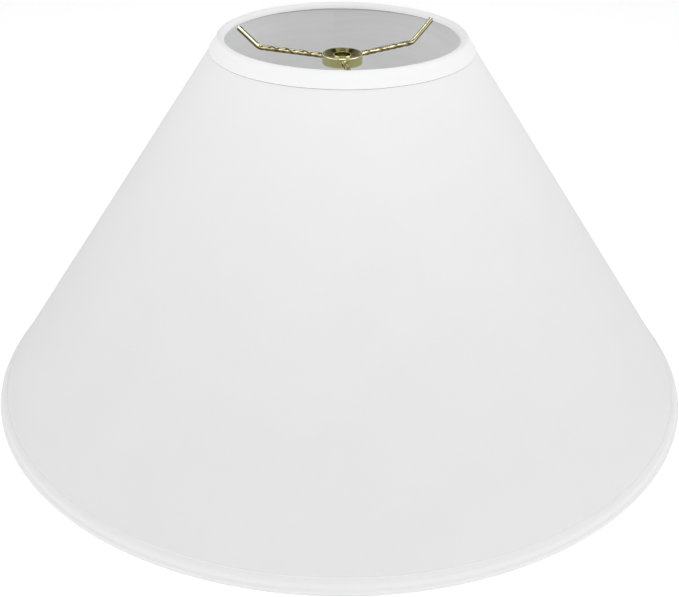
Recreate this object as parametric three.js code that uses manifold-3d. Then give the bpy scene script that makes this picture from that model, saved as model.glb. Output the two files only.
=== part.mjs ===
// A hardback cone lamp shade with a washer spider, in millimetres, +Z up, standing on z = 0.
//
// A fabric cover is laminated to a styrene lining and rolled into a cone, with a glued lap down the back.
// A wire ring stiffens each edge, and a folded tape is turned over ring and edge. A brass hub with a plain
// hole sits on three wire arms, which are brazed to the hub and to the top ring.

import * as THREE from "three";
import { mergeVertices } from "three/addons/utils/BufferGeometryUtils.js";
import Module from "manifold-3d";

// Overall sizes, over the trims.
const BOTTOM_DIAMETER = 460;
const TOP_DIAMETER = 152;
const HEIGHT = 233;

// Sheets, tapes and wire.
const COVER_THICKNESS = 0.4;
const LINING_THICKNESS = 0.5;
const TRIM_THICKNESS = 0.4;
const RING_WIRE = 2.4;
const GAP = 0.3; // left between two pieces that touch

// The trims, measured down or up the slant from the outermost line of the roll.
const TOP_TRIM_BAND = 11.4;
const BOTTOM_TRIM_BAND = 10.2;
const TRIM_TURN_IN = 3.9;

// The glued laps down the back of the cover and of the lining.
const COVER_LAP_WIDTH = 9;
const LINING_LAP_WIDTH = 12;
const LAP_BITE = 0.15; // how deep a lap is sunk into its own sheet

// The hub, a turned brass washer with a dished top and a raised lip round its hole.
const HUB_DIAMETER = 24.6;
const HUB_HEIGHT = 6.2;
const HUB_HOLE = 9.6;
const HUB_DROP = 12.2; // of its top below the crest of the shade
const HUB_RIM = 1; // width of the flat top of its outer rim
const HUB_EDGE = 0.35; // chamfers
const DISH_DEPTH = 2.2;
const DISH_SLOPE = 2.4; // width of the sloped ring inside the rim
const LIP_WIDTH = 0.5;
const LIP_HEIGHT = 1.5; // above the dish
const LIP_FOOT = 0.7; // how far the lip flares out at its foot

// The arms.
const ARM_COUNT = 3;
const FIRST_ARM_ANGLE = 38; // degrees, anticlockwise from +X
const ARM_WIRE = 3;
const ARM_KNEE_INSET = 16.6; // how far inside the top ring an arm turns up
const ARM_BEND = 7; // radius of that bend, at the middle of the wire
const BRAZE_SWELL = 0.55; // how far the braze at the hub stands round the wire
const BRAZE_LENGTH = 1.8;

// Fineness of the facets.
const AROUND_SHADE = 64;
const AROUND_HUB = 36;
const ROLL_SIDES = 12; // of a whole roll
const WIRE_SIDES = 8;
const ARM_STEPS = 22;

// Worked-out sizes. Inside a trim's roll lie, from outside to inside, the cover, the lining and the ring.
const ROLL_INNER = (COVER_THICKNESS + LINING_THICKNESS + RING_WIRE) / 2 + 2 * GAP;
const ROLL_RADIUS = ROLL_INNER + TRIM_THICKNESS;
const ROLL_REACH = ROLL_RADIUS * Math.cos(Math.PI / ROLL_SIDES); // to the middle of a facet
const COVER_FACE = ROLL_INNER - GAP;
const LINING_FACE = COVER_FACE - COVER_THICKNESS - GAP;
const RING_OFFSET = LINING_FACE - LINING_THICKNESS - GAP - RING_WIRE / 2;

// The middles of the two rolls, in a section (distance from the axis, height), and the cone's directions.
const bottomRoll = new THREE.Vector2(BOTTOM_DIAMETER / 2 - ROLL_REACH, ROLL_REACH);
const topRoll = new THREE.Vector2(TOP_DIAMETER / 2 - ROLL_REACH, HEIGHT - ROLL_REACH);
const upSlant = topRoll.clone().sub(bottomRoll).normalize();
const outward = new THREE.Vector2(upSlant.y, -upSlant.x);
const topRing = place(topRoll, 0, RING_OFFSET);
const bottomRing = place(bottomRoll, 0, RING_OFFSET);
const hubUnderside = HEIGHT - HUB_DROP - HUB_HEIGHT;

const wasm = await Module();
wasm.setup();

// ---- Tools for sections and solids ----

// The point of a section that lies some way up the slant and some way outwards from another.
function place(from, up, out) {
  return from.clone().addScaledVector(upSlant, up).addScaledVector(outward, out);
}

// A closed solid of revolution about Z, from a section listed anticlockwise.
function turned(section, segments) {
  const loop = [...section, section[0]];
  return new THREE.LatheGeometry(loop, segments).rotateX(Math.PI / 2);
}

// The corners of a circle in a section, or of a wire's outline.
function circle(centre, radius, sides) {
  return Array.from({ length: sides }, (_, k) => {
    const angle = ((k + 0.5) * 2 * Math.PI) / sides;
    return new THREE.Vector2(Math.cos(angle), Math.sin(angle)).multiplyScalar(radius).add(centre);
  });
}

// A closed geometry as a solid that can be cut and joined.
function solidOf(geometry) {
  const bare = geometry.clone();
  bare.deleteAttribute("normal");
  bare.deleteAttribute("uv");
  const merged = mergeVertices(bare, 1e-4);
  const vertProperties = merged.getAttribute("position").array;
  const triVerts = new Uint32Array(merged.index.array);
  return new wasm.Manifold(new wasm.Mesh({ numProp: 3, vertProperties, triVerts }));
}

// A solid as a geometry again.
function geometryOf(solid) {
  const { vertProperties, triVerts } = solid.getMesh();
  const geometry = new THREE.BufferGeometry();
  geometry.setAttribute("position", new THREE.BufferAttribute(vertProperties, 3));
  geometry.setIndex(new THREE.BufferAttribute(triVerts, 1));
  geometry.computeVertexNormals();
  return geometry;
}

// A named mesh with a finish of its own.
function piece(name, geometry, [color, roughness, metalness]) {
  const mesh = new THREE.Mesh(geometry, new THREE.MeshStandardMaterial({ color, roughness, metalness }));
  mesh.name = name;
  return mesh;
}

// ---- The cone: cover, lining and their laps ----

// A conical sheet between two levels up the slant. `face` is its outer face's distance from the rolls' line.
function coneSheet(face, thickness, lowEnd, highEnd) {
  const section = [
    place(bottomRoll, lowEnd, face - thickness),
    place(bottomRoll, lowEnd, face),
    place(topRoll, -highEnd, face),
    place(topRoll, -highEnd, face - thickness),
  ];
  return turned(section, AROUND_SHADE);
}

// A lap of constant width down the back, cut from a conical sheet that stops short of both trims.
function lap(face, thickness, width, lowEnd, highEnd) {
  const sheet = solidOf(coneSheet(face, thickness, lowEnd, highEnd));
  const slab = new THREE.BoxGeometry(width, BOTTOM_DIAMETER, 3 * HEIGHT);
  slab.translate(0, BOTTOM_DIAMETER / 2, 0);
  return sheet.intersect(solidOf(slab));
}

// The fabric cover, with the second layer that its lap adds on the outside.
function coverFabric() {
  const sheet = solidOf(coneSheet(COVER_FACE, COVER_THICKNESS, 0, 0));
  const thickness = COVER_THICKNESS + LAP_BITE;
  const lowEnd = BOTTOM_TRIM_BAND - ROLL_RADIUS + GAP;
  const highEnd = TOP_TRIM_BAND - ROLL_RADIUS + GAP;
  return geometryOf(sheet.add(lap(COVER_FACE + COVER_THICKNESS, thickness, COVER_LAP_WIDTH, lowEnd, highEnd)));
}

// The styrene lining, with the second layer that its lap adds on the inside.
function styreneLining() {
  const sheet = solidOf(coneSheet(LINING_FACE, LINING_THICKNESS, 0, 0));
  const face = LINING_FACE - LINING_THICKNESS + LAP_BITE;
  const clearOfRing = TRIM_TURN_IN + GAP;
  const thickness = LINING_THICKNESS + LAP_BITE;
  return geometryOf(sheet.add(lap(face, thickness, LINING_LAP_WIDTH, clearOfRing, clearOfRing)));
}

// ---- Rings and trims ----

// A wire ring whose middle is a point of the section.
function wireRing(middle, thickness) {
  return turned(circle(middle, thickness / 2, WIRE_SIDES), AROUND_SHADE);
}

// The directions of a roll's corners, anticlockwise through half a turn from `start`. The ones between its two
// ends are those of a regular outline with a level side, so the roll has a narrow flat at its crest or foot.
function rollDirections(start) {
  const step = (2 * Math.PI) / ROLL_SIDES;
  const corners = Array.from({ length: 2 * ROLL_SIDES }, (_, k) => (k + 0.5) * step);
  const between = corners.filter((a) => a > start + step / 4 && a < start + Math.PI - step / 4);
  return [start, ...between, start + Math.PI].map((a) => new THREE.Vector2(Math.cos(a), Math.sin(a)));
}

// A tape folded over an edge: a half-round roll with a flap of its own length at each end.
// The flaps leave the roll down the slant when `side` is -1, and up the slant when it is 1.
function foldedTape(middle, side, firstFlap, lastFlap) {
  const start = outward.angle() + (side > 0 ? Math.PI : 0);
  const directions = rollDirections(start);
  const corner = (direction, radius, flap) =>
    middle.clone().addScaledVector(direction, radius).addScaledVector(upSlant, side * flap);
  const outer = directions.map((direction) => corner(direction, ROLL_RADIUS, 0));
  const inner = directions.map((direction) => corner(direction, ROLL_INNER, 0));
  const [first, last] = [directions[0], directions[directions.length - 1]];
  return turned(
    [
      corner(first, ROLL_RADIUS, firstFlap),
      ...outer,
      corner(last, ROLL_RADIUS, lastFlap),
      corner(last, ROLL_INNER, lastFlap),
      ...inner.reverse(),
      corner(first, ROLL_INNER, firstFlap),
    ],
    AROUND_SHADE,
  );
}

// The tape over the top ring, notched where each arm goes in to the ring.
function topTrim() {
  const tape = foldedTape(topRoll, -1, TOP_TRIM_BAND - ROLL_RADIUS, TRIM_TURN_IN - ROLL_RADIUS);
  return geometryOf(
    armAngles().reduce((solid, angle) => {
      const notch = armWire(ARM_WIRE / 2 + GAP, 0).rotateZ(angle);
      return solid.subtract(solidOf(notch));
    }, solidOf(tape)),
  );
}

// The tape over the bottom ring. The shade stands on the narrow flat under its roll.
function bottomTrim() {
  return foldedTape(bottomRoll, 1, TRIM_TURN_IN - ROLL_RADIUS, BOTTOM_TRIM_BAND - ROLL_RADIUS);
}

// ---- The spider: hub and arms ----

// The directions of the arms, in radians anticlockwise from +X.
function armAngles() {
  const first = THREE.MathUtils.degToRad(FIRST_ARM_ANGLE);
  return Array.from({ length: ARM_COUNT }, (_, k) => first + (k * 2 * Math.PI) / ARM_COUNT);
}

// The hub, from its chamfered foot up the outside, over the rim, down into the dish and over the lip.
function spiderHub() {
  const outside = HUB_DIAMETER / 2;
  const hole = HUB_HOLE / 2;
  const dish = HUB_HEIGHT - DISH_DEPTH;
  const lipTop = dish + LIP_HEIGHT;
  const rimInside = outside - HUB_EDGE - HUB_RIM;
  const section = [
    [hole + HUB_EDGE, 0],
    [outside - HUB_EDGE, 0],
    [outside, HUB_EDGE],
    [outside, HUB_HEIGHT - HUB_EDGE],
    [outside - HUB_EDGE, HUB_HEIGHT],
    [rimInside, HUB_HEIGHT],
    [rimInside - DISH_SLOPE, dish],
    [hole + LIP_WIDTH + LIP_FOOT, dish],
    [hole + LIP_WIDTH, lipTop - HUB_EDGE],
    [hole + LIP_WIDTH / 2, lipTop],
    [hole, lipTop - HUB_EDGE],
    [hole, HUB_EDGE],
  ];
  const raised = section.map(([r, z]) => new THREE.Vector2(r, z + hubUnderside));
  return turned(raised, AROUND_HUB);
}

// The middle line of an arm that points along +X: out from the hub, round the knee and up towards the middle of
// the top ring's wire, where it stops short by some distance.
function armLine(stopShort) {
  const level = hubUnderside + HUB_HEIGHT / 2;
  const start = new THREE.Vector3(HUB_DIAMETER / 2 + GAP, 0, level);
  const knee = new THREE.Vector3(topRing.x - ARM_KNEE_INSET, 0, level);
  const ring = new THREE.Vector3(topRing.x, 0, topRing.y);
  const rise = ring.clone().sub(knee).normalize();
  const end = ring.addScaledVector(rise, -stopShort);
  const cut = ARM_BEND * Math.tan(Math.acos(rise.x) / 2);
  const bendStart = knee.clone().setX(knee.x - cut);
  const bendEnd = knee.clone().addScaledVector(rise, cut);
  const line = new THREE.CurvePath();
  line.add(new THREE.LineCurve3(start, bendStart));
  line.add(new THREE.QuadraticBezierCurve3(bendStart, knee, bendEnd));
  line.add(new THREE.LineCurve3(bendEnd, end));
  return line;
}

// A round wire of some radius along the arm's middle line.
function armWire(radius, stopShort) {
  const outline = new THREE.Shape(circle(new THREE.Vector2(), radius, WIRE_SIDES));
  return new THREE.ExtrudeGeometry(outline, { steps: ARM_STEPS, extrudePath: armLine(stopShort) });
}

// The swelling of braze round the wire where it meets the hub.
function brazeAtHub() {
  const wire = ARM_WIRE / 2;
  const profile = [
    [0, 0],
    [wire + BRAZE_SWELL, 0],
    [wire + BRAZE_SWELL / 3, BRAZE_LENGTH / 2],
    [wire - LAP_BITE, BRAZE_LENGTH],
    [0, BRAZE_LENGTH],
  ].map(([r, z]) => new THREE.Vector2(r, z));
  const bead = new THREE.LatheGeometry(profile, 2 * WIRE_SIDES).rotateZ(-Math.PI / 2);
  return bead.translate(HUB_DIAMETER / 2 + GAP, 0, hubUnderside + HUB_HEIGHT / 2);
}

// An arm with its braze, its far end butted against the top ring.
function spiderArm() {
  const wire = armWire(ARM_WIRE / 2, RING_WIRE / 2 + GAP);
  return geometryOf(solidOf(wire).add(solidOf(brazeAtHub())));
}

// ---- The shade ----

const fabric = [0xf2f1ee, 0.85, 0];
const tape = [0xf8f7f4, 0.75, 0];
const styrene = [0xe6e6e6, 0.6, 0];
const brass = [0xb5a35c, 0.25, 1];
const steel = [0xb9bcc0, 0.4, 1];

const shade = new THREE.Group();
shade.add(
  piece("cover_fabric", coverFabric(), fabric),
  piece("styrene_lining", styreneLining(), styrene),
  piece("top_trim", topTrim(), tape),
  piece("bottom_trim", bottomTrim(), tape),
  piece("top_ring", wireRing(topRing, RING_WIRE), brass),
  piece("bottom_ring", wireRing(bottomRing, RING_WIRE), steel),
);

const spider = new THREE.Group();
spider.add(piece("spider_hub", spiderHub(), brass));
armAngles().forEach((angle, k) => {
  const arm = piece("spider_arm_" + (k + 1), spiderArm(), brass);
  arm.rotation.z = angle;
  spider.add(arm);
});
shade.add(spider);

export default shade;
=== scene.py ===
"""A hardback cone lamp shade with a washer spider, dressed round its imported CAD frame.

A cloth cover is laminated to a styrene lining and rolled into a cone, with a glued lap down the back. A
wire ring stiffens each edge, and a folded tape is turned over the edge and round the ring. A turned brass
hub sits on three arms of twisted square rod, which are brazed to it and run up to the top ring.

Everything is in metres, in the frame of the CAD: +Z up the axis, +Y to the lap, and z = 0 at the foot.
"""

from __future__ import annotations

import logging
import math
from dataclasses import dataclass
from enum import Enum
from typing import Any, Callable, Mapping, Sequence

import bpy
import numpy as np
from mathutils import Euler, Matrix, Vector


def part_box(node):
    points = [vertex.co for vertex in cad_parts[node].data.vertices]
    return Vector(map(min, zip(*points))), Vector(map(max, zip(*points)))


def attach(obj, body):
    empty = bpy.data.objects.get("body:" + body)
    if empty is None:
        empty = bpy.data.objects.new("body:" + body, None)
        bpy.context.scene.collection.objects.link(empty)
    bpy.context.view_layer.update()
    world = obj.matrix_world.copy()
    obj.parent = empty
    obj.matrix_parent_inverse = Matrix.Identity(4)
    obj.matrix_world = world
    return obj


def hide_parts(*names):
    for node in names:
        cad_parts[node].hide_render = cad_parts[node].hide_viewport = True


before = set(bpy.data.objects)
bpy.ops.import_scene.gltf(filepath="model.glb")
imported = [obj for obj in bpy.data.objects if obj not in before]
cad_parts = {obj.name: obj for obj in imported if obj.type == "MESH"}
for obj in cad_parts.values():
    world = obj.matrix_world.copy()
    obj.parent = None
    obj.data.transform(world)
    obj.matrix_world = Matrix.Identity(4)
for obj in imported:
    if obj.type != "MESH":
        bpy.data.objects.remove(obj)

Piece = bpy.types.Object
Material = bpy.types.Material
Tree = bpy.types.NodeTree

MM = 0.001
BODY = "root"
UV_NAME = "UVMap"
CREASE = math.radians(50)
LOG = logging.getLogger("lamp_shade")


# ---- Node trees ----


def _pair(operation: str) -> tuple[Callable[[Signal, Number], Signal], Callable[[Signal, Number], Signal]]:
    """An operator of Signal that adds a Math node, and its reflected form.

    Args:
        operation: What the Math node does.

    Returns:
        The methods for self OP other and for other OP self.
    """

    def forward(self: Signal, other: Number) -> Signal:
        """self OP other"""
        return self.graph.math(operation, self, other)

    def reflected(self: Signal, other: Number) -> Signal:
        """other OP self"""
        return self.graph.math(operation, other, self)

    return forward, reflected


class Signal:
    """What comes out of a node. Arithmetic on it adds the Math nodes that do the sum."""

    def __init__(self, graph: Graph, socket: bpy.types.NodeSocket | None) -> None:
        """Wraps an output socket of a node in `graph`."""
        self.graph = graph
        self.socket = socket

    def out(self, name: str) -> Signal:
        """The output of the same node that has another name."""
        return Signal(self.graph, self.socket.node.outputs[name])

    __add__, __radd__ = _pair("ADD")
    __sub__, __rsub__ = _pair("SUBTRACT")
    __mul__, __rmul__ = _pair("MULTIPLY")
    __truediv__, __rtruediv__ = _pair("DIVIDE")

    def __neg__(self) -> Signal:
        """-self"""
        return self * -1.0

    def __abs__(self) -> Signal:
        """abs(self)"""
        return self.graph.math("ABSOLUTE", self)


Number = float | Signal


class Graph:
    """A node tree that is filled in by calls, one node to a call."""

    def __init__(self, tree: Tree) -> None:
        """Starts on an empty `tree`."""
        self.tree = tree
        tree.nodes.clear()

    def node(
        self,
        kind: str,
        settings: Mapping[str, Any] | None = None,
        inputs: Mapping[str | int, Any] | None = None,
    ) -> Signal:
        """Adds a node.

        Args:
            kind: The node's type, such as "ShaderNodeTexNoise".
            settings: Its properties, such as a Math node's operation, which are set first.
            inputs: A value or a Signal for each input, by the input's name or its number.

        Returns:
            The node's first output that is in use.
        """
        made = self.tree.nodes.new(kind)
        for name, value in (settings or {}).items():
            setattr(made, name, value)
        for key, value in (inputs or {}).items():
            socket = self._input(made, key)
            if isinstance(value, Signal):
                self.tree.links.new(value.socket, socket)
            else:
                socket.default_value = value
        return Signal(self, next((s for s in made.outputs if s.enabled), None))

    @staticmethod
    def _input(made: bpy.types.Node, key: str | int) -> bpy.types.NodeSocket:
        """The input socket of that number, or the one of that name that is in use.

        Args:
            made: The node.
            key: The input's number or name.

        Returns:
            The socket.
        """
        if isinstance(key, int):
            return made.inputs[key]
        return next(s for s in made.inputs if s.enabled and s.name == key)

    def math(self, operation: str, *values: Number) -> Signal:
        """A Math node on one to three values."""
        return self.node("ShaderNodeMath", {"operation": operation}, dict(enumerate(values)))

    def vector(self, x: Number = 0.0, y: Number = 0.0, z: Number = 0.0) -> Signal:
        """A vector put together from its parts."""
        return self.node("ShaderNodeCombineXYZ", None, {"X": x, "Y": y, "Z": z})

    def parts(self, vector: Signal) -> tuple[Signal, Signal, Signal]:
        """The three parts of a vector."""
        split = self.node("ShaderNodeSeparateXYZ", None, {"Vector": vector})
        return split.out("X"), split.out("Y"), split.out("Z")

    def ease(
        self, value: Number, start: Number, end: Number, low: Number = 0.0, high: Number = 1.0
    ) -> Signal:
        """A smooth step: `low` where the value is before `start`, and `high` where it is past `end`."""
        limits = {"Value": value, "From Min": start, "From Max": end, "To Min": low, "To Max": high}
        return self.node("ShaderNodeMapRange", {"interpolation_type": "SMOOTHSTEP"}, limits)

    def noise(self, vector: Signal, grain: Number, detail: float = 2.0, roughness: float = 0.5) -> Signal:
        """Soft random spots from about 0.3 to 0.7.

        Args:
            vector: Where to look it up, in metres.
            grain: The size of the spots, in metres.
            detail: How many finer layers are added.
            roughness: How strong the finer layers are.

        Returns:
            The noise as a number.
        """
        values = {"Vector": vector, "Scale": 1.0 / grain, "Detail": detail, "Roughness": roughness}
        return self.node("ShaderNodeTexNoise", None, values)

    def blend(self, factor: Number, first: Any, second: Any) -> Signal:
        """One colour where the factor is 0 and another where it is 1."""
        return self.node("ShaderNodeMix", {"data_type": "RGBA"}, {"Factor": factor, "A": first, "B": second})


class SurfaceGraph(Graph):
    """The node tree of a material."""

    def __init__(self, name: str) -> None:
        """Makes a new material of that name.

        Args:
            name: The material's name.
        """
        self.material = bpy.data.materials.new(name)
        self.material.use_nodes = True
        super().__init__(self.material.node_tree)

    def object_place(self) -> Signal:
        """The place on the piece, in metres."""
        return self.node("ShaderNodeTexCoord").out("Object")

    def surface_place(self) -> tuple[Signal, Signal]:
        """The place on the piece's own flat layout, in metres."""
        across, along, _ = self.parts(self.node("ShaderNodeUVMap", {"uv_map": UV_NAME}).out("UV"))
        return across, along

    def facing_up(self) -> Signal:
        """How far the surface faces up, from -1 to 1."""
        return self.parts(self.node("ShaderNodeNewGeometry").out("Normal"))[2]

    def bump(self, height: Signal, depth: float) -> Signal:
        """A normal for relief of some depth, in metres, where the height runs from 0 to 1."""
        return self.node("ShaderNodeBump", None, {"Height": height, "Strength": 1.0, "Distance": depth})

    def finish(self, sockets: Mapping[str, Any]) -> Material:
        """Ends the tree in a principled shader.

        Args:
            sockets: A value or a Signal for each of the shader's sockets that isn't left as it is.

        Returns:
            The finished material.
        """
        shader = self.node("ShaderNodeBsdfPrincipled", None, sockets)
        self.node("ShaderNodeOutputMaterial", None, {"Surface": shader})
        return self.material


class ShapeGraph(Graph):
    """A Geometry Nodes tree with named inputs."""

    def __init__(self, name: str) -> None:
        """Makes a new tree that takes and gives geometry.

        Args:
            name: The tree's name.
        """
        super().__init__(bpy.data.node_groups.new(name, "GeometryNodeTree"))
        self._socket("Geometry", "INPUT", "NodeSocketGeometry")
        self._socket("Geometry", "OUTPUT", "NodeSocketGeometry")
        self._entry = self.tree.nodes.new("NodeGroupInput")

    def _socket(self, name: str, way: str, kind: str) -> None:
        """Adds an input or an output to the tree."""
        self.tree.interface.new_socket(name=name, in_out=way, socket_type=kind)

    def geometry(self) -> Signal:
        """What the tree is given."""
        return Signal(self, self._entry.outputs["Geometry"])

    def entry(self, name: str, kind: str = "NodeSocketFloat") -> Signal:
        """Adds a named input."""
        self._socket(name, "INPUT", kind)
        return Signal(self, self._entry.outputs[name])

    def entries(self, *names: str) -> list[Signal]:
        """Adds several named sizes."""
        return [self.entry(name) for name in names]

    def keep_layout(self, shape: Signal, across: Number, along: Number) -> Signal:
        """Stores a flat layout, in metres, as the mesh's UV map.

        Args:
            shape: The mesh.
            across: The way across the flat layout.
            along: The way along it.

        Returns:
            The mesh with its UV map.
        """
        settings = {"data_type": "FLOAT2", "domain": "CORNER"}
        inputs = {"Geometry": shape, "Name": UV_NAME, "Value": self.vector(across, along)}
        return self.node("GeometryNodeStoreNamedAttribute", settings, inputs)

    def fillet(self, curve: Signal, count: int, radius: Number) -> Signal:
        """Rounds the corners of a curve, each in so many steps."""
        values = {"Curve": curve, "Count": count, "Radius": radius, "Limit Radius": True}
        return self.node("GeometryNodeFilletCurve", {"mode": "POLY"}, values)

    def close(self, shape: Signal, material: Signal) -> Tree:
        """Ends the tree in smooth, realized geometry with its material.

        Args:
            shape: The finished shape.
            material: Its material.

        Returns:
            The tree.
        """
        smooth = self.node("GeometryNodeSetShadeSmooth", None, {"Geometry": shape})
        real = self.node("GeometryNodeRealizeInstances", None, {"Geometry": smooth})
        dressed = self.node("GeometryNodeSetMaterial", None, {"Geometry": real, "Material": material})
        self.node("NodeGroupOutput", None, {"Geometry": dressed})
        return self.tree


# ---- Meshes ----


def new_object(name: str, points: Sequence, edges: Sequence, faces: Sequence) -> Piece:
    """Makes a mesh object at the origin and links it to the scene.

    Args:
        name: The name of object and mesh.
        points: Its (x, y, z) points, in metres.
        edges: Pairs of points, for a piece without faces.
        faces: The corners of each face, by point number.

    Returns:
        The object.
    """
    mesh = bpy.data.meshes.new(name)
    mesh.from_pydata([tuple(p) for p in points], edges, faces)
    mesh.update()
    made = bpy.data.objects.new(name, mesh)
    bpy.context.scene.collection.objects.link(made)
    return made


def smooth(mesh: bpy.types.Mesh) -> None:
    """Shades a mesh smooth, apart from the edges where its faces meet squarely."""
    mesh.shade_smooth()
    mesh.set_sharp_from_angle(angle=CREASE)


def settle(made: Piece) -> Piece:
    """Turns an object's evaluated shape into its own plain mesh, with no modifiers left.

    Args:
        made: The object.

    Returns:
        The same object.
    """
    bpy.context.view_layer.update()
    evaluated = made.evaluated_get(bpy.context.evaluated_depsgraph_get())
    mesh = bpy.data.meshes.new_from_object(evaluated)
    made.modifiers.clear()
    made.data = mesh
    mesh.name = made.name
    smooth(mesh)
    return made


def grow(
    made: Piece,
    tree: Tree,
    values: Mapping[str, Any],
    thickness: float = 0.0,
) -> Piece:
    """Gives an object the shape that a Geometry Nodes tree makes, as a plain mesh.

    Args:
        made: The object, whose own mesh is what the tree is given.
        tree: The tree.
        values: A value for each of its named inputs.
        thickness: How much thickness a sheet then gets, inwards from its face.

    Returns:
        The same object.
    """
    modifier = made.modifiers.new(tree.name, "NODES")
    modifier.node_group = tree
    for item in tree.interface.items_tree:
        if item.in_out == "INPUT" and item.name in values:
            modifier[item.identifier] = values[item.name]
    if thickness:
        wall = made.modifiers.new("wall", "SOLIDIFY")
        wall.thickness = thickness
        wall.offset = -1.0
    return settle(made)


def mount(made: Piece, node: str) -> None:
    """Lets a piece ride on the shade in place of its CAD node.

    Args:
        made: The piece.
        node: The CAD node that it replaces.
    """
    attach(made, BODY)
    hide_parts(node)


def strip(
    name: str,
    outer: np.ndarray,
    inner: np.ndarray,
    layout: np.ndarray,
    material: Material,
) -> Piece:
    """Makes a closed strip between two faces that run alike.

    Args:
        name: The piece's name.
        outer: The points of its outer face, along by across by 3, in metres.
        inner: The points of its inner face, in the same order.
        layout: The flat place of each point, along by across by 2, in metres.
        material: Its finish.

    Returns:
        The piece, smooth and with its UV map.
    """
    along, across = outer.shape[:2]
    rows = np.arange(along * across).reshape(along, across)
    back = rows + along * across

    def quads(a: np.ndarray, b: np.ndarray, c: np.ndarray, d: np.ndarray) -> list[list[int]]:
        """Four arrays of corners as a list of faces."""
        return np.stack([a, b, c, d], -1).reshape(-1, 4).tolist()

    faces = (
        quads(rows[:-1, :-1], rows[:-1, 1:], rows[1:, 1:], rows[1:, :-1])
        + quads(back[:-1, :-1], back[1:, :-1], back[1:, 1:], back[:-1, 1:])
        + quads(rows[:-1, 0], rows[1:, 0], back[1:, 0], back[:-1, 0])
        + quads(rows[:-1, -1], back[:-1, -1], back[1:, -1], rows[1:, -1])
        + quads(rows[0, :-1], back[0, :-1], back[0, 1:], rows[0, 1:])
        + quads(rows[-1, :-1], rows[-1, 1:], back[-1, 1:], back[-1, :-1])
    )
    points = np.concatenate([outer.reshape(-1, 3), inner.reshape(-1, 3)])
    made = new_object(name, points, [], faces)
    flat = np.concatenate([layout.reshape(-1, 2), layout.reshape(-1, 2)])
    corners = np.zeros(len(made.data.loops), dtype=np.int32)
    made.data.loops.foreach_get("vertex_index", corners)
    made.data.uv_layers.new(name=UV_NAME).data.foreach_set("uv", flat[corners].ravel().astype(np.float32))
    made.data.materials.append(material)
    smooth(made.data)
    return made


def turned(
    name: str,
    section: Sequence[tuple[float, float]],
    steps: int,
    material: Material,
) -> Piece:
    """Turns a closed section about the axis.

    Args:
        name: The piece's name.
        section: Its (radius, height) points, anticlockwise, in metres.
        steps: How many steps the turn takes.
        material: Its finish.

    Returns:
        The piece, with smooth faces.
    """
    count = len(section)
    turns = np.linspace(0.0, 2 * math.pi, steps, endpoint=False)
    points = [(r * math.cos(t), r * math.sin(t), z) for t in turns for r, z in section]
    faces = [
        (i * count + j, (i + 1) % steps * count + j, (i + 1) % steps * count + k, i * count + k)
        for i in range(steps)
        for j, k in zip(range(count), [*range(1, count), 0])
    ]
    made = new_object(name, points, [], faces)
    made.data.materials.append(material)
    smooth(made.data)
    return made


def rounded(corners: Sequence[tuple[float, float, float]], fineness: int = 5) -> list[tuple[float, float]]:
    """Rounds the corners of a closed outline.

    Args:
        corners: (x, y, radius) for each corner, in order.
        fineness: How many steps each arc takes.

    Returns:
        The outline's points.
    """
    outline = []
    for k, (x, y, radius) in enumerate(corners):
        corner = Vector((x, y))
        before = (Vector(corners[k - 1][:2]) - corner).normalized()
        after = (Vector(corners[(k + 1) % len(corners)][:2]) - corner).normalized()
        half = before.angle(after) / 2
        reach = radius / math.tan(half)
        middle = corner + (before + after).normalized() * radius / math.sin(half)
        start = corner + before * reach - middle
        end = corner + after * reach - middle
        sweep = start.angle_signed(end)
        for step in range(fineness + 1):
            spoke = Matrix.Rotation(-sweep * step / fineness, 2) @ start
            outline.append(tuple(middle + spoke))
    return outline


class Wobble:
    """A smooth random wave that closes on itself round the shade, from about -1 to 1."""

    def __init__(self, seed: int, lobes: Sequence[int]) -> None:
        """Draws the phases and weights of waves with so many lobes round the shade.

        Args:
            seed: What the random draws start from.
            lobes: How many lobes each wave has.
        """
        draw = np.random.default_rng(seed)
        self.lobes = np.array(lobes, dtype=float)
        self.phases = draw.uniform(0.0, 2 * math.pi, len(lobes))
        weights = draw.uniform(0.5, 1.0, len(lobes))
        self.weights = weights / weights.sum()

    def at(self, angles: np.ndarray) -> np.ndarray:
        """The wave at some angles round the shade, in radians."""
        waves = np.sin(np.multiply.outer(angles, self.lobes) + self.phases)
        return waves @ self.weights


# ---- The lines of the shade ----


class Edge(Enum):
    """An edge of the shade. Its value is the way from the sheet over the edge, up (1) or down (-1)."""

    TOP = 1
    BOTTOM = -1


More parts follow.
